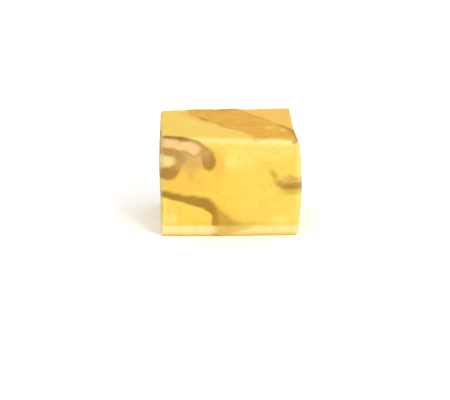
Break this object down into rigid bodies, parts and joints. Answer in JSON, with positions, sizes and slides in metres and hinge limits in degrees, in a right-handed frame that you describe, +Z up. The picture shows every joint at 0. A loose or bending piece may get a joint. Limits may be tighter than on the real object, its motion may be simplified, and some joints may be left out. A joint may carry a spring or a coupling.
{
  "type": "fudge cube",
  "caption": "Hand-cut cube of butter-yellow fudge marbled with caramel brown, soft edges and a bevelled front foot, made to sit on a flat surface.",
  "frame": {"origin": "on the surface that the cube rests on, under the middle of its bounding box", "axes": "+Z up, out of the poured top; -Y out of the front cut face with the curled brown fold; +X to the right of that face"},
  "size_m": [0.0318, 0.0306, 0.0229],
  "materials": {
    "fudge": "satin butter-yellow fudge with caramel brown folds, fine sugar grain, paler dried edges"
  },
  "bodies": {
    "root": {"fudge_cube": "fudge"}
  },
  "joints": []
}
